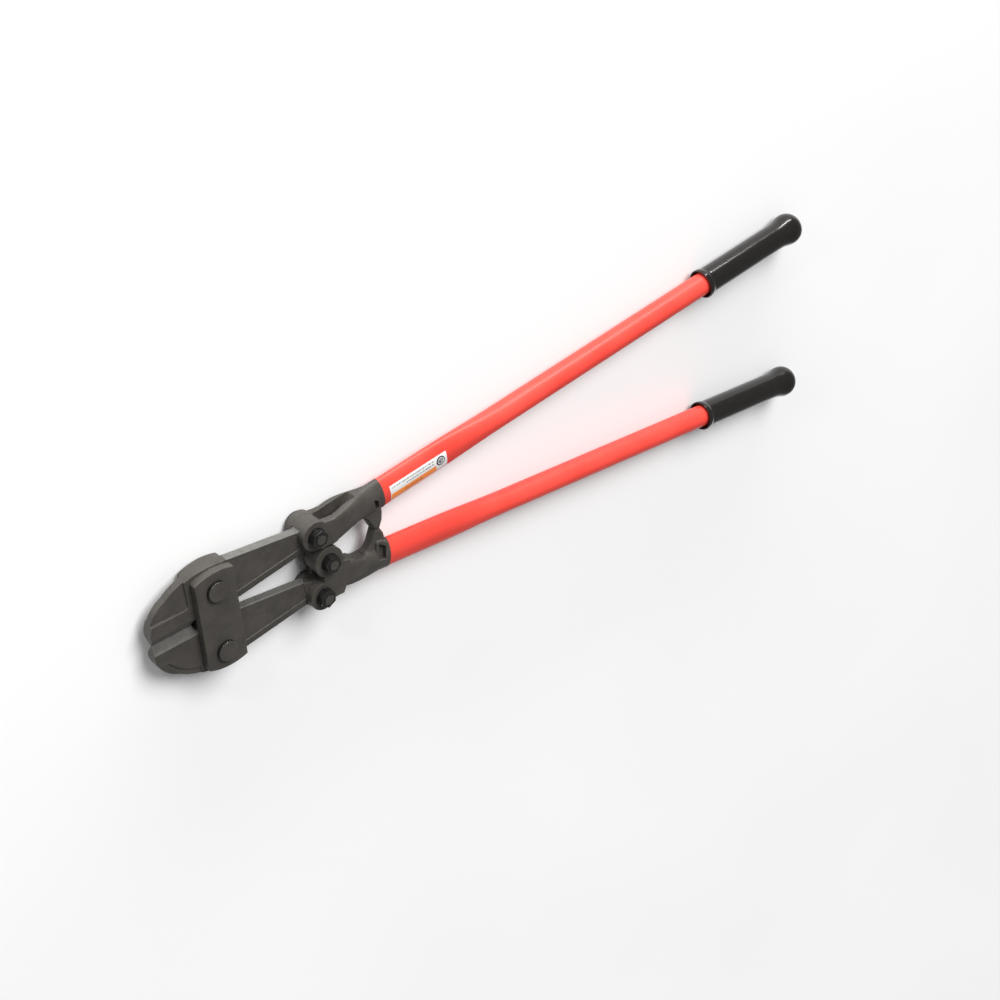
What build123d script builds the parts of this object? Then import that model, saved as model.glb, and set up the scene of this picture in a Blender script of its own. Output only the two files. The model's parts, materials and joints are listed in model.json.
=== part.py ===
from build123d import *
import math
import os

# Bolt cutters, 36 inch class.  Millimetres.
# Tool frame used while modelling: X runs from the jaws (-X) to the grips (+X) with x = 0 at the
# centre pivot, Y = 0 is the line the jaws close on, Z = 0 is the middle of the jaws' thickness.
# Every piece is moved at the end so that the origin is under the middle of the whole tool, on
# the surface that it lies on.

# --- driving dimensions ---------------------------------------------------------------------
JAW_BOLT = (-132.0, 36.5)         # jaw pivot, upper one; the lower one mirrors it in Y
HANDLE_BOLT = (-11.5, 37.5)       # where the jaw's tail meets the handle, upper one

BLADE_HALF = 6.35                 # jaws are 1/2 inch thick
SIDE_GAP = 0.15                   # running gap between the jaws and the plates or cheeks
RUN_GAP = 0.05                    # radial clearance of a shaft in its bore
MEET_GAP = 0.15                   # half of the gap left between the closed halves
PLATE_IN = BLADE_HALF + SIDE_GAP
PLATE_OUT = 15.7                  # outer face of the side plates
CHEEK_OUT = 15.4                  # outer face of the handle cheeks

EDGE_FRONT = -203.2               # cutting edge, front and rear ends
EDGE_REAR = -157.4
EDGE_FLAT = 0.35                  # half width of the land left on the cutting edge
BEVEL_DEPTH = 9.4                 # how far the ground bevel reaches up the jaw
RIM_STEP = 1.5                    # the rim of the head is this much lower than its face
ARM_BEVEL_WIDTH = 7.2
ARM_BEVEL_DEPTH = 1.3
ARM_LIP_END = 8.2                 # from the arm's border to the panel sunk in its face
ARM_PANEL_DEPTH = 0.8
HEEL_R = JAW_BOLT[1] - MEET_GAP   # the jaws roll on each other behind the edges
TAIL_R = 16.0                     # round end of the jaw's tail

JAW_SHANK_R = 8.0
JAW_HEAD_R = 11.2
JAW_THREAD_R = 6.0
JAW_NUT_FLATS = 19.0
JAW_HEAD_OUT = 20.3               # outer face of the jaw bolts' heads
PIN_R = 7.9                       # shanks of the three handle pivots
PIN_HEAD_R = 14.0
PIN_HEAD_OUT = 19.7
CAM_R = 10.4                      # adjusting cam round the upper handle pivot
CAM_OFFSET = 0.8
THREAD_R = 5.9
BOLT_END = 24.7
WASHER_R = 10.2
WASHER_THICK = 1.4
LOCK_WASHER_THICK = 1.9
NUT_FLATS = 17.0
NUT_HEIGHT = 4.6
CENTRE_PLAY = 3.1                 # extra radius of the centre hole, where the linkage is open

HANDLE_TILT = 6.13                # degrees that each handle leans off the X axis
HANDLE_Y = 28.9                   # height of the handle's axis above the centre pivot
SOCKET_END = 81.5                 # along the handle's axis: shoulder that the tube butts on
SHOULDER_HEIGHT = 17.6            # half sizes of the oval shoulder, in Y and in Z
SHOULDER_THICK = 9.4
TUBE_OVAL_HEIGHT = 17.1           # the tube is 1 inch round, squeezed oval where it meets the iron
TUBE_OVAL_THICK = 8.9
TUBE_R = 12.8
TUBE_WALL = 2.0
OVAL_END = 148.0                  # the tube is fully oval up to here, and round again past the next
ROUND_START = 258.0
FORK_LOBE_R = 16.2
CHEEK_LOBE_R = 17.0
HUB_R = 16.0
LOBE_CLEAR_R = CHEEK_LOBE_R + CENTRE_PLAY
BUMP_THICK = 6.6                  # half thickness of the web that carries the stop
FRAME_OUT = 9.0                   # outer face of the frame round the lower iron's pocket
POCKET_DEPTH = 5.0
TUBE_END = 716.0
SPIGOT_LENGTH = 60.0
GRIP_START = 561.0
GRIP_END = 725.0
GRIP_BODY_R = 15.6
GRIP_RIM_R = 17.3
GRIP_FLARE_R = 18.6

LABEL_START = 89.5
LABEL_LENGTH = 76.5
LABEL_ACROSS = (-13.6, 6.4)       # lower and upper border, measured from the tube's axis
LABEL_THICK = 0.12

HEAD_FRONT = -205.2               # foremost point of the jaws
REST_DROP = JAW_HEAD_OUT          # the surface it lies on is this far under the mid plane


# --- helpers --------------------------------------------------------------------------------
def disc(centre, radius, low, high):
    """A cylinder along Z from low to high."""
    return Pos(centre[0], centre[1], low) * extrude(Circle(radius), high - low)


def slab(points, low, high):
    """A flat plate with straight sides, from low to high."""
    return Pos(0, 0, low) * extrude(make_face(Polyline(*points, close=True)), high - low)


def both_sides(solid):
    """The solid and its mirror image in the mid plane."""
    return [solid, mirror(solid, about=Plane.XY)]


def flip(solid):
    """Turn a piece over about the X axis, which makes an upper piece a lower one."""
    return Rot(180, 0, 0) * solid


def on_handle(solid):
    """Place a piece modelled along +X on the upper handle's axis."""
    return Pos(0, HANDLE_Y, 0) * Rot(0, 0, HANDLE_TILT) * solid


def turned(profile):
    """A solid of revolution about X from (x, r) points and arcs."""
    return revolve(make_face(profile), Axis.X)


def round_edges(solid, radius, chosen):
    """Fillet the chosen edges one size, and leave them sharp where they cannot take it."""
    edges = solid.edges().filter_by(chosen)
    try:
        return fillet(edges, radius)
    except Exception:
        print("left sharp:", radius)
        return solid


# --- jaws -----------------------------------------------------------------------------------
def arm_relief(start, end, face_z):
    """Cutters for an arm's face along a straight border, from start to end.

    The first takes a shallow draft bevel off the border, and the second sinks the rest of the
    face a little, which leaves a narrow lip between the two.
    """
    side = math.copysign(1, face_z)
    corner = (start[0], start[1], face_z)
    along = Vector(end[0] - start[0], end[1] - start[1], 0)
    section = Plane(origin=corner, x_dir=Vector(0, 0, 1).cross(along), z_dir=along)
    over, beyond = 2.0, 3.0  # the cutters stick out of the border and past its ends by these
    drop = ARM_BEVEL_DEPTH * (1 + over / ARM_BEVEL_WIDTH)
    wedge = make_face(Polyline(
        (-over, -side * drop), (ARM_BEVEL_WIDTH, 0), (ARM_BEVEL_WIDTH, side), (-over, side), close=True))
    bevel = extrude(section * Pos(0, 0, -beyond) * wedge, along.length + 2 * beyond)
    face = Plane(origin=corner, x_dir=along, z_dir=(0, 0, 1))
    panel = Pos(0, ARM_LIP_END) * Rectangle(along.length, 60.0, align=(Align.MIN, Align.MIN))
    return [bevel, extrude(face * panel, ARM_PANEL_DEPTH, both=True)]


def jaw_blank():
    px, py = JAW_BOLT
    heel_left = (px + HEEL_R * math.cos(math.radians(-114)), py + HEEL_R * math.sin(math.radians(-114)))
    heel_right = (px + HEEL_R * math.cos(math.radians(-58)), py + HEEL_R * math.sin(math.radians(-58)))
    line = [
        Line((EDGE_FRONT, MEET_GAP), (EDGE_REAR, MEET_GAP)),
        ThreePointArc((EDGE_REAR, MEET_GAP), (-153.4, 6.6), heel_left),
        ThreePointArc(heel_left, (px, MEET_GAP), heel_right),
        Line(heel_right, (-28.0, 17.2)),
        Line((-28.0, 17.2), (-14.0, 22.0)),
        Line((-14.0, 22.0), (-9.0, 53.3)),
        Line((-9.0, 53.3), (-14.0, 53.4)),
        Line((-14.0, 53.4), (-27.0, 45.0)),
        Line((-27.0, 45.0), (-108.0, 55.8)),
        ThreePointArc((-108.0, 55.8), (-128.0, 58.6), (-148.0, 58.2)),
        ThreePointArc((-148.0, 58.2), (-166.0, 53.2), (-182.0, 44.0)),
        ThreePointArc((-182.0, 44.0), (-198.2, 31.0), (HEAD_FRONT, 14.0)),
        Line((HEAD_FRONT, 14.0), (EDGE_FRONT, MEET_GAP)),
    ]
    blank = Pos(0, 0, -BLADE_HALF) * extrude(make_face(Curve(children=line)), 2 * BLADE_HALF)
    return blank + disc(HANDLE_BOLT, TAIL_R, -BLADE_HALF, BLADE_HALF)


def jaw_forging():
    jaw = jaw_blank()
    # ground bevels of the cutting edge
    bevel = make_face(Polyline(
        (MEET_GAP - 1, EDGE_FLAT), (MEET_GAP, EDGE_FLAT), (BEVEL_DEPTH, BLADE_HALF),
        (BEVEL_DEPTH, BLADE_HALF + 1), (MEET_GAP - 1, BLADE_HALF + 1), close=True))
    cutter = extrude(Plane(origin=(HEAD_FRONT - 5, 0, 0), x_dir=(0, 1, 0), z_dir=(1, 0, 0)) * bevel, 60.0)
    for piece in both_sides(cutter):
        jaw -= piece
    # forged relief in the side of the head, deepest in its rear lower corner
    relief = slab([(-160.0, 24.0), (-160.0, 80.0), (-225.0, 80.0), (-225.0, 24.0)], 0, 8)
    relief = Pos(-160.0, 24.0, BLADE_HALF - 1.5) * Rot(-1.2, -2.5, 0) * Pos(160.0, -24.0, 0) * relief
    jaw -= round_edges(relief, 4.0, lambda e: abs(e.center().X + 160) < 2 and abs(e.center().Y - 24) < 2)
    # step on the other side of the head, along the outer rim
    rim = make_face(Curve(children=[
        ThreePointArc((-191.0, 25.4), (-176.0, 40.4), (-158.0, 48.1)),
        Line((-158.0, 48.1), (-158.0, 75.0)),
        Line((-158.0, 75.0), (-215.0, 75.0)),
        Line((-215.0, 75.0), (-215.0, 28.0)),
        Line((-215.0, 28.0), (-191.0, 25.4)),
    ]))
    jaw -= Pos(0, 0, -BLADE_HALF - 1) * extrude(rim, 1 + RIM_STEP)
    # draft of the arm: from the inner border on one side, from the outer one on the other
    for piece in arm_relief((-107.5, 6.4), (-24.5, 17.7), BLADE_HALF):
        jaw -= piece
    for piece in arm_relief((-24.5, 44.7), (-107.5, 55.7), -BLADE_HALF):
        jaw -= piece
    return jaw - disc(JAW_BOLT, JAW_SHANK_R + RUN_GAP, -8, 8)


def upper_jaw():
    return jaw_forging() - disc(cam_centre(), CAM_R + RUN_GAP, -8, 8)


def lower_jaw():
    return flip(jaw_forging() - disc(HANDLE_BOLT, PIN_R + RUN_GAP, -8, 8))


def cam_centre():
    """The cam's round outside is off the bolt's axis, which sets how the edges meet."""
    return (HANDLE_BOLT[0], HANDLE_BOLT[1] - CAM_OFFSET)


def adjusting_cam():
    cam = disc(cam_centre(), CAM_R, -BLADE_HALF, BLADE_HALF)
    return cam - disc(HANDLE_BOLT, PIN_R + RUN_GAP, -8, 8)


# --- side plates and jaw bolts ----------------------------------------------------------------
def side_plate():
    corner_x, corner_y, top_y = -154.5, 51.3, 57.2
    right_x = -109.2
    crown = ThreePointArc((corner_x + 1.6, corner_y + 1.2), (-134.0, top_y), (right_x, 54.0))
    foot = ThreePointArc((right_x, -54.0), (-134.0, -top_y), (corner_x + 1.6, -corner_y - 1.2))
    outline = Curve(children=[
        crown,
        Line((right_x, 54.0), (right_x, -54.0)),
        foot,
        Line((corner_x + 1.6, -corner_y - 1.2), (corner_x, -corner_y)),
        Line((corner_x, -corner_y), (corner_x, corner_y)),
        Line((corner_x, corner_y), (corner_x + 1.6, corner_y + 1.2)),
    ])
    plate = Pos(0, 0, PLATE_IN) * extrude(make_face(outline), PLATE_OUT - PLATE_IN)
    plate = round_edges(plate, 0.8, lambda e: abs(e.center().Z - PLATE_OUT) < 0.01)
    for side in (1, -1):
        plate -= disc((JAW_BOLT[0], side * JAW_BOLT[1]), JAW_SHANK_R + RUN_GAP, 0, 20)
    return plate


def jaw_bolt():
    """Round-headed bolt: head in front, shank through both plates and the jaw, thread behind."""
    head = disc(JAW_BOLT, JAW_HEAD_R, PLATE_OUT, JAW_HEAD_OUT)
    head = round_edges(head, 0.9, lambda e: e.center().Z > JAW_HEAD_OUT - 0.01)
    shank = disc(JAW_BOLT, JAW_SHANK_R, -PLATE_OUT, PLATE_OUT)
    thread = disc(JAW_BOLT, JAW_THREAD_R, -JAW_HEAD_OUT + 0.3, -PLATE_OUT)
    thread = chamfer(thread.edges().group_by(Axis.Z)[0], 0.8)
    return head + shank + thread


def hexagon(flats):
    return RegularPolygon(flats / 2, 6, major_radius=False)


def nut(centre, flats, hole_r, low, high, turn=0.0):
    """Hexagon nut with the corners chamfered on its outer face."""
    body = extrude(Rot(0, 0, turn) * hexagon(flats), abs(high - low))
    height = abs(high - low)
    corner = flats / 2 / math.cos(math.pi / 6)
    upright = (Align.CENTER, Align.CENTER, Align.MIN)
    cone = Pos(0, 0, height - 1.3) * Cone(corner + 1.0, corner - 1.3, 2.3, align=upright)
    keep = extrude(Circle(corner + 1.0), height - 1.3) + cone
    body = (body & keep) - extrude(Circle(hole_r), height)
    if high < low:
        body = Rot(180, 0, 0) * body
    return Pos(centre[0], centre[1], low) * body


# --- handle irons -----------------------------------------------------------------------------
def oval(x, y, half_height, half_thick, power):
    """Closed section across the upper handle's axis: an ellipse at power 2, squarer above it."""
    points = []
    for step in range(24):
        angle = 2 * math.pi * step / 24
        across, out = math.cos(angle), math.sin(angle)
        points.append((
            half_height * math.copysign(abs(across) ** (2 / power), across),
            half_thick * math.copysign(abs(out) ** (2 / power), out)))
    plane = Plane(origin=(x, y, 0), x_dir=(0, 1, 0), z_dir=(1, 0, 0))
    return plane * make_face(Spline(*points, periodic=True))


def socket(neck_sections):
    """Oval shoulder that the tube butts on, its spigot, and the neck that runs into them."""
    neck = loft([oval(*numbers) for numbers in neck_sections])
    neck_end = neck_sections[-1][0]
    shoulder = loft([oval(x, 0, SHOULDER_HEIGHT, SHOULDER_THICK, 2) for x in (neck_end, SOCKET_END)])
    shoulder = round_edges(shoulder, 0.5, lambda e: e.center().X > SOCKET_END - 0.01)
    gap = TUBE_WALL + RUN_GAP
    spigot = loft([
        oval(SOCKET_END, 0, TUBE_OVAL_HEIGHT - gap, TUBE_OVAL_THICK - gap, 2),
        oval(SOCKET_END + SPIGOT_LENGTH, 0, TUBE_OVAL_HEIGHT - gap, TUBE_OVAL_THICK - gap, 2)])
    return on_handle(neck + shoulder + spigot)


def stop_bump():
    """Web under the neck that carries the stop: the two irons' noses meet on the centre line."""
    outline = make_face(Polyline(
        (46.0, 34.0), (50.0, 21.8), (55.0, 19.6), (59.5, 14.5), (63.2, 6.0), (66.0, MEET_GAP),
        (73.2, MEET_GAP), (77.2, 8.5), (78.6, 18.0), (77.0, 34.0), close=True))
    inner = outline.vertices().filter_by(lambda v: v.Y < 22 and v.Y > MEET_GAP + 0.01)
    web = Pos(0, 0, -BUMP_THICK) * extrude(fillet(inner, 2.2), 2 * BUMP_THICK)
    return round_edges(web, 3.2, lambda e: abs(abs(e.center().Z) - BUMP_THICK) < 0.01)


def socket_pocket(points, face):
    """Cutter for a pocket in the broad face of the shoulder: corners along and across the axis."""
    shape = fillet(make_face(Polyline(*points, close=True)).vertices(), 1.3)
    return on_handle(Pos(0, 0, face - POCKET_DEPTH) * extrude(shape, 8.0))


def eye(low_edge):
    """Opening that the two irons leave between them; low_edge is its border up to the arch."""
    lines = [Line(start, end) for start, end in zip(low_edge, low_edge[1:])]
    outline = lines + [
        ThreePointArc(low_edge[-1], (44.0, 24.3), (52.0, 21.6)),
        ThreePointArc((52.0, 21.6), (59.5, 14.8), (63.5, 5.0)),
        Line((63.5, 5.0), (65.0, -2.0)),
        Line((65.0, -2.0), low_edge[0]),
    ]
    return Pos(0, 0, -20) * extrude(make_face(Curve(children=outline)), 40)


def upper_handle_iron():
    # two lobes that straddle the jaw's tail, and the fork that thins towards the neck
    fork = slab([
        (-11.0, 21.6), (2.0, 17.0), (14.0, 20.0), (14.0, 46.6), (7.5, 46.9), (1.0, 48.2),
        (-8.0, 50.0)], -CHEEK_OUT, CHEEK_OUT)
    fork += disc(HANDLE_BOLT, FORK_LOBE_R, -CHEEK_OUT, CHEEK_OUT)
    neck = socket((
        (6.0, 2.5, 14.8, CHEEK_OUT, 14), (17.0, 3.3, 14.0, CHEEK_OUT, 12), (28.0, 4.6, 13.9, 15.2, 9),
        (38.0, 4.9, 14.3, 13.9, 6), (48.0, 3.9, 15.2, 11.8, 4), (58.0, 1.6, 16.8, 10.0, 2.7),
        (68.0, 0.0, SHOULDER_HEIGHT, SHOULDER_THICK, 2)))
    iron = fork + neck - disc((0, 0), LOBE_CLEAR_R, -20, 20)
    iron -= eye([(17.0, -2.0), (17.0, 20.6), (30.0, 23.6)])
    iron += stop_bump()
    # slot for the jaw's tail, with an end that climbs to the neck
    iron -= slab([
        (-40.0, 21.0), (14.0, 21.0), (30.0, 33.0), (38.0, 42.0), (49.0, 56.0), (49.0, 70.0),
        (-40.0, 70.0)], -PLATE_IN, PLATE_IN)
    # centre hub on its web, between the lower iron's cheeks
    iron += disc((0, 0), HUB_R, -BLADE_HALF, BLADE_HALF)
    iron += slab([
        (3.0, 15.0), (11.0, 11.2), (24.0, 15.4), (37.0, 24.0), (40.0, 30.0), (20.0, 26.0),
        (0.5, 18.0)], -BLADE_HALF, BLADE_HALF)
    pocket = socket_pocket([(67.2, 3.3), (72.9, -1.0), (72.5, -9.4), (68.3, -12.0)], SHOULDER_THICK)
    for piece in both_sides(pocket):
        iron -= piece
    iron -= disc((0, 0), PIN_R + CENTRE_PLAY, -20, 20)
    return iron - disc(HANDLE_BOLT, PIN_R + RUN_GAP, -20, 20)


def lower_handle_iron():
    """Modelled on the upper side of the centre line, then turned over."""
    cheeks = slab([
        (-8.0, 13.0), (2.0, 0.0), (13.0, 7.0), (25.0, 10.2), (22.0, 26.8), (17.0, 39.2), (13.4, 46.0),
        (3.0, 45.6), (-8.0, 50.0), (-9.5, 30.0)], -CHEEK_OUT, CHEEK_OUT)
    cheeks += disc((0, 0), CHEEK_LOBE_R, -CHEEK_OUT, CHEEK_OUT)
    cheeks += disc(HANDLE_BOLT, 15.6, -CHEEK_OUT, CHEEK_OUT)
    neck = socket((
        (12.0, -0.5, 14.6, 10.4, 6), (36.0, 1.4, 15.4, 10.3, 4.5), (50.0, 1.8, 15.8, 10.0, 3),
        (60.0, 0.6, 17.0, 9.7, 2.4), (68.0, 0.0, SHOULDER_HEIGHT, SHOULDER_THICK, 2)))
    neck -= eye([(10.0, -2.0), (10.0, 8.0), (25.0, 10.4), (35.0, 18.4)])
    # raised frame that carries the pocket
    frame = make_face(Polyline(
        (62.4, 4.0), (78.2, 4.0), (78.2, -17.5), (70.0, -22.5), (62.4, -23.0), close=True))
    frame = Pos(0, 0, -FRAME_OUT) * extrude(fillet(frame.vertices(), 2.5), 2 * FRAME_OUT)
    frame = round_edges(frame, 1.2, lambda e: abs(abs(e.center().Z) - FRAME_OUT) < 0.01)
    iron = cheeks + neck + stop_bump() + on_handle(frame)
    # gap between the cheeks for the centre hub and the jaw's tail
    iron -= disc((0, 0), HUB_R + CENTRE_PLAY + 0.6, -PLATE_IN, PLATE_IN)
    iron -= disc(HANDLE_BOLT, TAIL_R + 0.4, -PLATE_IN, PLATE_IN)
    iron -= slab([(-40.0, -30.0), (4.0, -30.0), (4.0, 60.0), (-40.0, 60.0)], -PLATE_IN, PLATE_IN)
    pocket = socket_pocket([(65.2, 0.2), (75.0, 2.2), (75.0, -13.8), (65.2, -20.0)], FRAME_OUT)
    for piece in both_sides(pocket):
        iron -= piece
    iron -= disc((0, 0), PIN_R + RUN_GAP, -20, 20)
    iron -= disc(HANDLE_BOLT, PIN_R + RUN_GAP, -20, 20)
    return flip(iron)


# --- handle pivots ----------------------------------------------------------------------------
def pivot_bolt(centre):
    """Bolt with a wide round head behind, a plain shank and a threaded end in front."""
    head = disc(centre, PIN_HEAD_R, -PIN_HEAD_OUT, -CHEEK_OUT)
    head = round_edges(head, 1.2, lambda e: e.center().Z < -PIN_HEAD_OUT + 0.01)
    shank = disc(centre, PIN_R, -CHEEK_OUT, CHEEK_OUT)
    thread = disc(centre, THREAD_R, CHEEK_OUT, BOLT_END)
    thread = chamfer(thread.edges().group_by(Axis.Z)[-1], 0.9)
    return head + shank + thread


def flat_washer(centre):
    ring = disc(centre, WASHER_R, CHEEK_OUT, CHEEK_OUT + WASHER_THICK)
    return ring - disc(centre, THREAD_R + RUN_GAP, 0, 30)


def lock_washer(centre, turn):
    """Split spring washer."""
    ring = extrude(Circle(8.9) - Circle(THREAD_R + RUN_GAP), LOCK_WASHER_THICK)
    ring -= Rot(0, 0, turn) * Pos(7.5, 0, 1) * Rot(25, 0, 0) * Box(6, 0.9, 8)
    return Pos(centre[0], centre[1], CHEEK_OUT + WASHER_THICK) * ring


# --- tubes, grips, label ----------------------------------------------------------------------
def tube_shape(grow):
    """The tube's outer shape, grown by a little all round: oval, then easing to round."""
    tall, thick, small = TUBE_OVAL_HEIGHT + grow, TUBE_OVAL_THICK + grow, TUBE_R + grow
    middle = (OVAL_END + ROUND_START) / 2
    flat_part = loft([oval(x, 0, tall, thick, 2) for x in (SOCKET_END, OVAL_END)])
    easing = loft([
        oval(OVAL_END, 0, tall, thick, 2),
        oval(OVAL_END + 18.0, 0, tall - 0.25, thick + 0.25, 2),
        oval(middle, 0, (tall + small) / 2, (thick + small) / 2, 2),
        oval(ROUND_START - 18.0, 0, small + 0.25, small - 0.25, 2),
        oval(ROUND_START, 0, small, small, 2)])
    round_part = loft([oval(x, 0, small, small, 2) for x in (ROUND_START, TUBE_END)])
    return flat_part + easing + round_part


def handle_tube():
    return on_handle(tube_shape(0) - tube_shape(-TUBE_WALL))


def grip():
    flare_x = GRIP_END - 18.0
    outside = [
        ThreePointArc(
            (GRIP_START + 0.4, GRIP_RIM_R - 1.7), (GRIP_START, GRIP_RIM_R - 0.5),
            (GRIP_START + 1.2, GRIP_RIM_R)),
        Line((GRIP_START + 1.2, GRIP_RIM_R), (GRIP_START + 3.0, GRIP_RIM_R)),
        Spline((GRIP_START + 3.0, GRIP_RIM_R), (GRIP_START + 9.5, GRIP_BODY_R), tangents=[(1, 0), (1, 0)]),
        Line((GRIP_START + 9.5, GRIP_BODY_R), (flare_x - 22, GRIP_BODY_R)),
        Spline((flare_x - 22, GRIP_BODY_R), (flare_x - 9, GRIP_BODY_R + 1.5), (flare_x, GRIP_FLARE_R),
               tangents=[(1, 0), (1, 0)]),
        Spline((flare_x, GRIP_FLARE_R), (flare_x + 12.7, 0.72 * GRIP_FLARE_R), (GRIP_END, 0),
               tangents=[(1, 0), (0, -1)]),
        Line((GRIP_END, 0), (TUBE_END + 0.2, 0)),
        Line((TUBE_END + 0.2, 0), (TUBE_END + 0.2, TUBE_R + RUN_GAP)),
        Line((TUBE_END + 0.2, TUBE_R + RUN_GAP), (GRIP_START + 6.0, TUBE_R + RUN_GAP)),
        Line((GRIP_START + 6.0, TUBE_R + RUN_GAP), (GRIP_START + 0.4, GRIP_RIM_R - 1.7)),
    ]
    return on_handle(turned(Curve(children=outside)))


def label():
    """Thin film on the tube's broad face, between two heights across it."""
    skin = tube_shape(0.01 + LABEL_THICK) - tube_shape(0.01)
    low, high = LABEL_ACROSS
    keep = Pos(LABEL_START + LABEL_LENGTH / 2, (low + high) / 2, 15) * Box(LABEL_LENGTH, high - low, 30)
    return on_handle(skin & keep)


# --- assembly ---------------------------------------------------------------------------------
def build_all():
    upper = HANDLE_BOLT
    lower = (HANDLE_BOLT[0], -HANDLE_BOLT[1])
    centre = (0.0, 0.0)
    lower_jaw_bolt = (JAW_BOLT[0], -JAW_BOLT[1])
    plate = side_plate()
    bolt = jaw_bolt()
    jaw_nut_bore = JAW_THREAD_R + RUN_GAP
    tube = handle_tube()
    end_grip = grip()
    parts = {
        "side_plate_front": plate,
        "side_plate_back": mirror(plate, about=Plane.XY),
        "jaw_bolt_upper": bolt,
        "jaw_bolt_lower": mirror(bolt, about=Plane.XZ),
        "jaw_nut_upper": nut(JAW_BOLT, JAW_NUT_FLATS, jaw_nut_bore, -PLATE_OUT, -JAW_HEAD_OUT, 10),
        "jaw_nut_lower": nut(lower_jaw_bolt, JAW_NUT_FLATS, jaw_nut_bore, -PLATE_OUT, -JAW_HEAD_OUT, 33),
        "upper_jaw": upper_jaw(),
        "lower_jaw": lower_jaw(),
        "adjusting_cam": adjusting_cam(),
        "upper_handle_iron": upper_handle_iron(),
        "lower_handle_iron": lower_handle_iron(),
        "upper_handle_tube": tube,
        "lower_handle_tube": flip(tube),
        "upper_grip": end_grip,
        "lower_grip": flip(end_grip),
        "label": label(),
    }
    nut_low = CHEEK_OUT + WASHER_THICK + LOCK_WASHER_THICK
    nut_high = nut_low + NUT_HEIGHT
    for name, place, turn in (("upper", upper, 12), ("centre", centre, 41), ("lower", lower, 27)):
        parts[name + "_pivot_bolt"] = pivot_bolt(place)
        parts[name + "_washer"] = flat_washer(place)
        parts[name + "_lock_washer"] = lock_washer(place, 5 * turn)
        parts[name + "_pivot_nut"] = nut(place, NUT_FLATS, THREAD_R + RUN_GAP, nut_low, nut_high, turn)
    return parts


handle_end = GRIP_END * math.cos(math.radians(HANDLE_TILT))
middle_x = (HEAD_FRONT + handle_end) / 2
place_on_floor = Pos(-middle_x, 0, REST_DROP)

os.makedirs("parts", exist_ok=True)
for node, solid in build_all().items():
    placed = place_on_floor * solid
    placed.label = node
    export_step(placed, "parts/" + node + ".step")
print("middle_x", middle_x, "rest", REST_DROP)
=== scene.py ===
"""Bolt cutters lying flat on a pale floor: materials, light, camera and the fine mesh detail.

Lengths are metres, in the frame of the CAD model: +X from the jaws to the grips, +Y across, +Z up.
"""
import json
import math

import bmesh
import bpy
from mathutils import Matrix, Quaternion, Vector


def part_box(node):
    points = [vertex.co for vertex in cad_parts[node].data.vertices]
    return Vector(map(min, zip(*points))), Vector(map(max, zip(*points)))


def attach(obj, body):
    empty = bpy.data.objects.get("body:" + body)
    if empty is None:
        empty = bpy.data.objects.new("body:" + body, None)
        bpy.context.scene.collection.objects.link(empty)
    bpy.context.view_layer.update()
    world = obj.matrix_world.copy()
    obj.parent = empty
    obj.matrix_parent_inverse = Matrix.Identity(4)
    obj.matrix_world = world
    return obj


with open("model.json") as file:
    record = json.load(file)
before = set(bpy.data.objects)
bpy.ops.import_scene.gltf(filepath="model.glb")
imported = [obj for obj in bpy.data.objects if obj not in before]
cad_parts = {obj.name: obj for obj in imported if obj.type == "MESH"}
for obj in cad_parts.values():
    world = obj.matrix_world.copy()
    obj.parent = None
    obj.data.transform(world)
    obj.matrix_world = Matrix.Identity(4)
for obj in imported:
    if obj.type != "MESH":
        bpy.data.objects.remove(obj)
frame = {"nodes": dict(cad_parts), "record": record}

MM = 0.001
HANDLE_TILT = math.radians(6.13)  # closed, each handle turns out from the closing line by this
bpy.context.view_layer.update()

# --- places that the finishes need, read from the frame ---
LABEL_LOW, LABEL_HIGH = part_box("label")
LABEL_MIDDLE = (LABEL_LOW + LABEL_HIGH) / 2
JAW_LOW, JAW_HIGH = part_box("lower_jaw")
JAW_LEVEL = (JAW_LOW.z + JAW_HIGH.z) / 2
ARM_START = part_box("side_plate_front")[1].x
ARM_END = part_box("upper_pivot_bolt")[0].x

# --- which faces get which finish, by their middles and their normals ---
BEVEL_LENGTH = 46 * MM            # faces of the ground bevels lie this near to the jaws' noses
BEVEL_REACH = 9.6 * MM            # and this near to the closing line
BEVEL_LEAN = 0.2                  # least Y in their normals
BORDER_REACH = 4 * MM             # faces of an arm's border lie this near to mid thickness
BORDER_LEAN = 0.2                 # most Z in their normals
SIDE_LEAN = 0.7                   # most Z in the normals of a bolt's sides
END_LEAN = 0.9                    # least Z in the normals of its end

# --- worn edges in the materials ---
EDGE_WEAR = (0.02, 0.25)          # 1 minus the cosine of a lean, from no wear to full wear
EDGE_SAMPLES = 6                  # samples of the rounded normal

# --- the ridge of a thread ---
THREAD_PITCH = 1.5 * MM
THREAD_RADIUS = 5.9 * MM          # the bolt that carries it
THREAD_PROUD = 0.22 * MM          # its crest, above the bolt
THREAD_SUNK = 0.1 * MM            # its foot, below the bolt's surface
THREAD_CREST = 0.1                # half the width of its crest, in pitches
THREAD_FOOT = 0.45                # half the width of its foot, in pitches
THREAD_STEPS = 40                 # steps in one turn
THREAD_FADE = 8                   # steps over which each end dies away
BOLT_CHAMFER = 0.9 * MM           # bevelled end of a bolt, without a thread

# --- print on the label, in millimetres: middle along it and across it, length and width ---
BAND = (-7.2, -4.4, 61.0, 8.0)
BAND_PRINT = (-8.0, -4.4, 24.0, 3.0)
PRINT_ROWS = ((-7.5, 6.6, 57.0, 1.5), (2.0, 3.0, 38.0, 1.5))
MARK_RING = (29.6, 2.3, 5.6)      # parts of the round mark: middle along and across, and radius
MARK_FIELD = (30.0, 2.0, 4.1)
MARK_PRINT = (30.0, 2.0, 3.4)
DASHES_ALONG, DASHES_ACROSS = 900.0, 420.0  # cells of the noise in one metre

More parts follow.
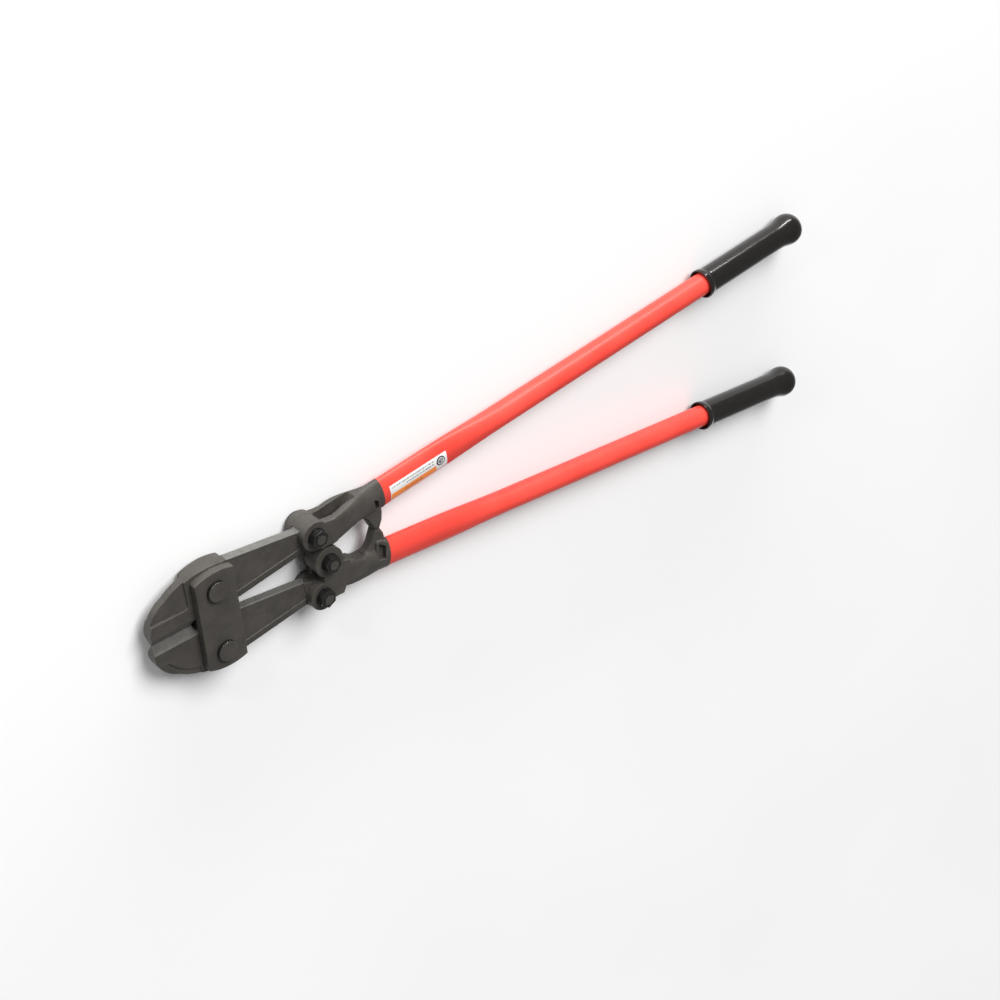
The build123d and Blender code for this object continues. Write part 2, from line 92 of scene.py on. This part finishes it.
# --- floor, sky and camera ---
FLOOR_HALF = 60.0                 # half the side of the sheet
WORLD_STRENGTH = 0.24
CAMERA_PLACE = Vector((-1.0943, 1.1206, 1.3275))
CAMERA_AIM = Vector((-0.0174, -0.0519, 0.0203))
CAMERA_ROLL = math.radians(120.9)
CAMERA_LENS = 67.65               # millimetres, as is the sensor's width
CAMERA_SENSOR = 36.0
CAMERA_NEAR, CAMERA_FAR = 0.05, 60.0


# --- node helpers ---
class Surface:
    """A material being built: its nodes, its shader and its object coordinates."""

    def __init__(self, name, specular, metallic=0.0, coat=0.0, coat_roughness=0.05):
        self.material = bpy.data.materials.new(name)
        self.material.use_nodes = True
        self.tree = self.material.node_tree
        self.shader = self.tree.nodes["Principled BSDF"]
        self.shader.inputs["Metallic"].default_value = metallic
        self.shader.inputs["Specular IOR Level"].default_value = specular
        self.shader.inputs["Coat Weight"].default_value = coat
        self.shader.inputs["Coat Roughness"].default_value = coat_roughness
        self.place = self.node("ShaderNodeTexCoord").outputs["Object"]

    def node(self, kind, inputs=None, **settings):
        """A new node. Each input is a plain value or another node's output."""
        made = self.tree.nodes.new(kind)
        for setting, value in settings.items():
            setattr(made, setting, value)
        for socket, value in (inputs or {}).items():
            self.feed(made.inputs[socket], value)
        return made

    def feed(self, socket, value):
        if isinstance(value, bpy.types.NodeSocket):
            self.tree.links.new(value, socket)
        else:
            socket.default_value = value

    def noise(self, size, detail, roughness=0.55, place=None):
        """Noise from 0 to 1 with blotches of about this size, in metres or in place's units."""
        where = self.place if place is None else place
        inputs = {"Vector": where, "Scale": 1 / size, "Detail": detail, "Roughness": roughness}
        return self.node("ShaderNodeTexNoise", inputs).outputs["Fac"]

    def stretched(self, along, across, direction=(0, 0, 0)):
        """Object coordinates scaled along X and across it, then turned, for a grain."""
        turned = self.node("ShaderNodeMapping", {
            "Vector": self.place, "Rotation": direction, "Scale": (along, across, across)})
        return turned.outputs["Vector"]

    def span(self, value, low, high, to_low=0.0, to_high=1.0):
        """The value, clamped between low and high and mapped to another range."""
        inputs = {
            "Value": value, "From Min": low, "From Max": high, "To Min": to_low, "To Max": to_high}
        return self.node("ShaderNodeMapRange", inputs).outputs["Result"]

    def math(self, operation, first, second=0.0, third=0.0):
        made = self.node("ShaderNodeMath", operation=operation)
        for socket, value in zip(made.inputs, (first, second, third)):
            self.feed(socket, value)
        return made.outputs["Value"]

    def mix(self, factor, first, second):
        """The second colour over the first one, by this factor."""
        made = self.node("ShaderNodeMix", data_type="RGBA")
        colours = [s for s in made.inputs if s.type == "RGBA"]
        self.feed(made.inputs["Factor"], factor)
        for socket, value in zip(colours, (first, second)):
            self.feed(socket, value if isinstance(value, bpy.types.NodeSocket) else (*value, 1.0))
        return [s for s in made.outputs if s.type == "RGBA"][0]

    def rounded(self, radius):
        """Normals that look as if every edge was rounded by this radius."""
        bevel = self.node("ShaderNodeBevel", {"Radius": radius}, samples=EDGE_SAMPLES)
        return bevel.outputs["Normal"]

    def edges(self, normal):
        """1 near an edge and 0 on the flats, from how far the rounded normal leans."""
        flat = self.node("ShaderNodeNewGeometry").outputs["Normal"]
        lean = self.node("ShaderNodeVectorMath", {0: normal, 1: flat}, operation="DOT_PRODUCT")
        return self.span(self.math("SUBTRACT", 1.0, lean.outputs["Value"]), *EDGE_WEAR)

    def bump(self, height, distance, strength, normal=None):
        inputs = {"Height": height, "Distance": distance, "Strength": strength}
        if normal is not None:
            inputs["Normal"] = normal
        return self.node("ShaderNodeBump", inputs).outputs["Normal"]

    def finish(self, colour, roughness, normal):
        self.feed(self.shader.inputs["Base Color"], colour)
        self.feed(self.shader.inputs["Roughness"], roughness)
        self.feed(self.shader.inputs["Normal"], normal)
        return self.material


# --- materials ---
def forged_steel():
    """Drop-forged steel under a dark warm-grey oxide, rubbed lighter along its edges."""
    dark, light = (0.048, 0.0435, 0.038), (0.066, 0.060, 0.053)
    mottled, pit, bare = (0.085, 0.078, 0.070), (0.026, 0.0245, 0.0225), (0.15, 0.145, 0.135)
    s = Surface("forged_steel", specular=0.45)
    blotches = s.noise(22 * MM, detail=4)
    mottle = s.noise(3 * MM, detail=5, roughness=0.65)
    grain = s.noise(0.5 * MM, detail=4, roughness=0.7)
    rounded = s.rounded(0.9 * MM)
    colour = s.mix(s.span(blotches, 0.35, 0.65), dark, light)
    colour = s.mix(s.span(mottle, 0.48, 0.75, 0.0, 0.6), colour, mottled)
    colour = s.mix(s.span(grain, 0.62, 0.8, 0.0, 0.5), colour, pit)
    worn = s.math("MULTIPLY", s.edges(rounded), s.span(mottle, 0.35, 0.6, 0.1, 0.75))
    colour = s.mix(worn, colour, bare)
    smoothed = s.math("ADD", mottle, s.math("MULTIPLY", worn, -0.3))
    roughness = s.span(smoothed, 0.25, 0.75, 0.42, 0.62)
    normal = s.bump(mottle, 0.25 * MM, 0.5, rounded)
    normal = s.bump(grain, 0.08 * MM, 0.6, normal)
    return s.finish(colour, roughness, normal)


def ground_steel(name, shade):
    """Bare ground steel with fine grinding lines across it; shade scales how light it is."""
    s = Surface(name, specular=0.5, metallic=0.4)
    lines = s.noise(1.0, detail=3, roughness=0.6, place=s.stretched(3500, 60))
    cloud = s.noise(7 * MM, detail=4)
    fine = s.noise(0.4 * MM, detail=2)
    dark, light, groove = (
        tuple(shade * part for part in tone)
        for tone in ((0.135, 0.132, 0.123), (0.175, 0.171, 0.160), (0.09, 0.088, 0.082)))
    colour = s.mix(s.span(cloud, 0.35, 0.7), dark, light)
    colour = s.mix(s.span(lines, 0.4, 0.75, 0.0, 0.55), colour, groove)
    roughness = s.span(lines, 0.25, 0.75, 0.34, 0.5)
    normal = s.bump(lines, 0.03 * MM, 0.6, s.rounded(0.5 * MM))
    normal = s.bump(fine, 0.02 * MM, 0.4, normal)
    return s.finish(colour, roughness, normal)


def black_hardware():
    """Oiled black oxide on the turned bolts, nuts and washers."""
    dark, light, bare = (0.0075, 0.0073, 0.0072), (0.014, 0.0135, 0.013), (0.075, 0.072, 0.068)
    s = Surface("black_hardware", specular=0.7)
    cloud = s.noise(4 * MM, detail=4)
    fine = s.noise(0.35 * MM, detail=3, roughness=0.65)
    rounded = s.rounded(0.45 * MM)
    colour = s.mix(s.span(cloud, 0.35, 0.7), dark, light)
    worn = s.math("MULTIPLY", s.edges(rounded), s.span(cloud, 0.4, 0.65, 0.15, 0.8))
    colour = s.mix(worn, colour, bare)
    dullness = s.math("ADD", cloud, s.math("MULTIPLY", fine, 0.4))
    roughness = s.span(dullness, 0.4, 0.95, 0.06, 0.14)
    normal = s.bump(fine, 0.02 * MM, 0.3, rounded)
    return s.finish(colour, roughness, normal)


def red_paint():
    """Powder-coated tube: orange peel, faint handling marks, slightly duller in patches."""
    dark, light = (0.79, 0.058, 0.040), (0.84, 0.070, 0.050)
    rubbed, speck = (0.92, 0.13, 0.09), (0.45, 0.03, 0.02)
    s = Surface("red_paint", specular=0.4, coat=0.12, coat_roughness=0.25)
    cloud = s.noise(45 * MM, detail=3)
    peel = s.noise(1.1 * MM, detail=2, roughness=0.5)
    rubs = s.noise(1.0, detail=4, roughness=0.7, place=s.stretched(30, 240, (0, 0, HANDLE_TILT)))
    specks = s.noise(0.9 * MM, detail=3, roughness=0.8)
    colour = s.mix(s.span(cloud, 0.35, 0.65), dark, light)
    colour = s.mix(s.span(rubs, 0.66, 0.8, 0.0, 0.22), colour, rubbed)
    colour = s.mix(s.span(specks, 0.74, 0.8, 0.0, 0.35), colour, speck)
    dullness = s.math("ADD", cloud, s.math("MULTIPLY", rubs, 0.6))
    roughness = s.span(dullness, 0.5, 1.1, 0.36, 0.5)
    normal = s.bump(peel, 0.05 * MM, 0.45)
    return s.finish(colour, roughness, normal)


def black_vinyl():
    """Glossy dipped vinyl with a soft ripple and fine dulled scuffs."""
    black, scuffed = (0.0088, 0.0076, 0.0066), (0.0155, 0.014, 0.0125)
    s = Surface("black_vinyl", specular=0.45, coat=0.2, coat_roughness=0.1)
    ripple = s.noise(14 * MM, detail=2)
    scuffs = s.noise(1.0, detail=5, roughness=0.7, place=s.stretched(60, 500))
    pores = s.noise(0.6 * MM, detail=2)
    colour = s.mix(s.span(scuffs, 0.5, 0.8, 0.0, 0.7), black, scuffed)
    roughness = s.span(scuffs, 0.35, 0.75, 0.16, 0.28)
    normal = s.bump(ripple, 0.5 * MM, 0.35)
    normal = s.bump(pores, 0.02 * MM, 0.5, normal)
    return s.finish(colour, roughness, normal)


def label_film():
    """White film with an orange band, rows of plain grey dashes and a round dark mark."""
    white, aged, orange, orange_print = (
        (0.86, 0.86, 0.85), (0.78, 0.78, 0.76), (1.0, 0.30, 0.06), (0.62, 0.15, 0.03))
    row_print, ring, field, mark_print = (
        (0.16, 0.16, 0.18), (0.03, 0.03, 0.034), (0.8, 0.8, 0.8), (0.06, 0.06, 0.07))
    s = Surface("label_film", specular=0.5, coat=0.3, coat_roughness=0.1)
    moved = s.node("ShaderNodeVectorMath", {
        0: s.place, 1: tuple(LABEL_MIDDLE)}, operation="SUBTRACT")
    turned = s.node("ShaderNodeVectorRotate", {
        "Vector": moved.outputs["Vector"], "Angle": -HANDLE_TILT}, rotation_type="Z_AXIS")
    split = s.node("ShaderNodeSeparateXYZ", {"Vector": turned.outputs["Vector"]})
    along, across = split.outputs["X"], split.outputs["Y"]

    def box(middle_along, middle_across, length, width):
        inside_along = s.math("COMPARE", along, middle_along * MM, length * MM / 2)
        inside_across = s.math("COMPARE", across, middle_across * MM, width * MM / 2)
        return s.math("MULTIPLY", inside_along, inside_across)

    def disc(middle_along, middle_across, radius):
        side = s.math("SUBTRACT", along, middle_along * MM)
        rise = s.math("SUBTRACT", across, middle_across * MM)
        reach = s.math("ADD", s.math("POWER", side, 2.0), s.math("POWER", rise, 2.0))
        return s.math("LESS_THAN", reach, (radius * MM) ** 2)

    age = s.noise(9 * MM, detail=4)
    spread = s.node("ShaderNodeCombineXYZ", {
        "X": s.math("MULTIPLY", along, DASHES_ALONG),
        "Y": s.math("MULTIPLY", across, DASHES_ACROSS)})
    dash = s.noise(1.0, detail=2, place=spread.outputs["Vector"])
    ink = s.span(dash, 0.44, 0.5)
    colour = s.mix(s.span(age, 0.3, 0.75), white, aged)
    colour = s.mix(box(*BAND), colour, orange)
    colour = s.mix(s.math("MULTIPLY", box(*BAND_PRINT), ink), colour, orange_print)
    for row in PRINT_ROWS:
        colour = s.mix(s.math("MULTIPLY", box(*row), ink), colour, row_print)
    colour = s.mix(disc(*MARK_RING), colour, ring)
    colour = s.mix(disc(*MARK_FIELD), colour, field)
    colour = s.mix(s.math("MULTIPLY", disc(*MARK_PRINT), ink), colour, mark_print)
    roughness = s.span(age, 0.3, 0.7, 0.3, 0.42)
    normal = s.bump(age, 0.05 * MM, 0.4)
    return s.finish(colour, roughness, normal)


def floor_paper():
    """Matt white backdrop paper."""
    s = Surface("floor_paper", specular=0.1)
    tone = s.noise(0.6, detail=2)
    tooth = s.noise(1.2 * MM, detail=2)
    colour = s.mix(s.span(tone, 0.3, 0.7), (0.93, 0.93, 0.93), (0.96, 0.96, 0.96))
    return s.finish(colour, s.span(tooth, 0.3, 0.7, 0.85, 0.95), s.bump(tooth, 0.05 * MM, 0.2))


MATERIALS = {
    "forged_steel": forged_steel(), "black_hardware": black_hardware(), "red_paint": red_paint(),
    "black_vinyl": black_vinyl(), "label_film": label_film()}
GROUND = ground_steel("ground_steel", 1.0)
# partly painted light: a lighter copy of the ground steel for the arms' bare trimmed borders, made
# lighter also to stand in for the light they catch
TRIMMED_AND_PAINTED_LIGHT = ground_steel("trimmed_steel_painted_light", 1.15)
slots = {part["node"]: part["material_slot"] for part in frame["record"]["subparts"]}
for name, node in frame["nodes"].items():
    node.data.materials.clear()
    node.data.materials.append(MATERIALS[slots[name]])


def refinish(name, material, chosen):
    """Gives another finish to the chosen faces of a node."""
    mesh = frame["nodes"][name].data
    mesh.materials.append(material)
    slot = len(mesh.materials) - 1
    for face in mesh.polygons:
        if chosen(face):
            face.material_index = slot


def beside_edge(face):
    """The ground bevels lean towards the closing line, next to the cutting edges."""
    near = face.center.x < JAW_LOW.x + BEVEL_LENGTH and abs(face.center.y) < BEVEL_REACH
    return near and face.normal.y * face.center.y < 0 and abs(face.normal.y) > BEVEL_LEAN


def on_arm_border(face):
    """The upright borders of the jaws' arms, where the flash was trimmed off; their lighter steel
    is partly painted light.
    """
    level = abs(face.center.z - JAW_LEVEL) < BORDER_REACH
    upright = abs(face.normal.z) < BORDER_LEAN
    return ARM_START < face.center.x < ARM_END and level and upright


def side_for_painted_shade(face):
    """The sides of a bolt and of its head, without the flat faces; on the jaw bolts these take the
    black finish as painted shade.
    """
    return abs(face.normal.z) < SIDE_LEAN


def on_end(face):
    """The flat faces of a bolt that point up; only its end shows."""
    return face.normal.z > END_LEAN


for jaw in ("upper_jaw", "lower_jaw"):
    refinish(jaw, GROUND, beside_edge)
    # bare trimmed metal and painted light: the arms' borders get the lighter copy of the ground
    # steel
    refinish(jaw, TRIMMED_AND_PAINTED_LIGHT, on_arm_border)
# painted shade: the sides of the jaw bolts' heads get the black finish, a dark rim where shadow
# would fall
for bolt in ("jaw_bolt_upper", "jaw_bolt_lower"):
    refinish(bolt, MATERIALS["black_hardware"], side_for_painted_shade)
for bolt in ("upper_pivot_bolt", "centre_pivot_bolt", "lower_pivot_bolt"):
    refinish(bolt, MATERIALS["forged_steel"], on_end)


# --- helper for new objects ---
def add(name, data):
    """A new object in the scene that shows this data."""
    made = bpy.data.objects.new(name, data)
    bpy.context.scene.collection.objects.link(made)
    return made


# --- threads on the ends of the pivot bolts ---
def thread(name, bolt, nut, body):
    """A helical ridge that climbs from the top of the nut to the chamfer of the bolt."""
    low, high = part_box(bolt)
    centre = (low + high) / 2
    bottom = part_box(nut)[1].z
    top = high.z - BOLT_CHAMFER
    steps = int((top - bottom) / THREAD_PITCH * THREAD_STEPS)
    made = bmesh.new()
    rings = []
    for step in range(steps + 1):
        angle = 2 * math.pi * step / THREAD_STEPS
        height = bottom + THREAD_PITCH * step / THREAD_STEPS
        crest = THREAD_PROUD * min(1.0, step / THREAD_FADE, (steps - step) / THREAD_FADE)
        profile = (
            (-THREAD_SUNK, -THREAD_FOOT), (crest, -THREAD_CREST),
            (crest, THREAD_CREST), (-THREAD_SUNK, THREAD_FOOT))
        ring = []
        for out, rise in profile:
            reach = THREAD_RADIUS + out
            ring.append(made.verts.new((
                centre.x + reach * math.cos(angle), centre.y + reach * math.sin(angle),
                height + rise * THREAD_PITCH)))
        rings.append(ring)
    for first, second in zip(rings, rings[1:]):
        for corner in range(len(first)):
            following = (corner + 1) % len(first)
            made.faces.new((first[corner], second[corner], second[following], first[following]))
    made.faces.new(rings[0])
    made.faces.new(reversed(rings[-1]))
    bmesh.ops.recalc_face_normals(made, faces=made.faces)
    mesh = bpy.data.meshes.new(name)
    made.to_mesh(mesh)
    made.free()
    piece = add(name, mesh)
    mesh.materials.append(MATERIALS["black_hardware"])
    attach(piece, body)


BODY_OF_BOLT = {"upper": "upper_handle", "centre": "lower_handle", "lower": "lower_handle"}
for place, body in BODY_OF_BOLT.items():
    thread(f"{place}_bolt_thread", f"{place}_pivot_bolt", f"{place}_pivot_nut", body)


# --- floor, light and camera ---
def floor():
    """A wide sheet of paper that the tool lies on."""
    mesh = bpy.data.meshes.new("floor")
    signs = ((-1, -1), (1, -1), (1, 1), (-1, 1))
    corners = [(FLOOR_HALF * x, FLOOR_HALF * y, 0) for x, y in signs]
    mesh.from_pydata(corners, [], [(0, 1, 2, 3)])
    sheet = add("floor", mesh)
    mesh.materials.append(floor_paper())


def sun(towards, spread, strength):
    """A distant lamp, unseen in reflections.

    Towards points at it, and spread is how many degrees it covers.
    """
    lamp = bpy.data.lights.new("sun", "SUN")
    lamp.angle = math.radians(spread)
    lamp.energy = strength
    made = add("sun", lamp)
    made.visible_glossy = False
    made.rotation_mode = "QUATERNION"
    made.rotation_quaternion = Vector(towards).to_track_quat("Z", "Y")


def panel(name, place, aim, width, height, watts):
    """A flat lamp at place, turned towards aim."""
    lamp = bpy.data.lights.new(name, "AREA")
    lamp.shape = "RECTANGLE"
    lamp.size = width
    lamp.size_y = height
    lamp.energy = watts
    made = add(name, lamp)
    made.location = place
    made.rotation_euler = (Vector(aim) - Vector(place)).to_track_quat("-Z", "Y").to_euler()


def studio():
    """An even sky, one wide sun, a strip for the long highlights and a small lamp for glints."""
    world = bpy.data.worlds.new("studio")
    world.use_nodes = True
    sky = world.node_tree.nodes["Background"]
    sky.inputs["Color"].default_value = (1, 1, 1, 1)
    sky.inputs["Strength"].default_value = WORLD_STRENGTH
    bpy.context.scene.world = world
    bpy.context.scene.view_settings.view_transform = "Standard"
    sun(towards=(0.16, 0.72, 0.68), spread=34, strength=3.2)
    panel("strip", place=(0.2, 1.8, 0.2), aim=(0.1, 0.0, 0.0), width=2.2, height=0.14, watts=32)
    panel(
        "glint", place=(-1.0, 1.1, 0.5), aim=(-0.2, 0.0, 0.0), width=0.14, height=0.14, watts=2.2)


def camera():
    """Looks down from beyond the jaws, rolled so that the grips lie up and to the right."""
    data = bpy.data.cameras.new("camera")
    data.lens = CAMERA_LENS
    data.sensor_width = CAMERA_SENSOR
    data.clip_start = CAMERA_NEAR
    data.clip_end = CAMERA_FAR
    made = add("camera", data)
    made.location = CAMERA_PLACE
    made.rotation_mode = "QUATERNION"
    level = (CAMERA_AIM - CAMERA_PLACE).to_track_quat("-Z", "Y")
    made.rotation_quaternion = level @ Quaternion((0, 0, 1), CAMERA_ROLL)
    bpy.context.scene.camera = made


floor()
studio()
camera()
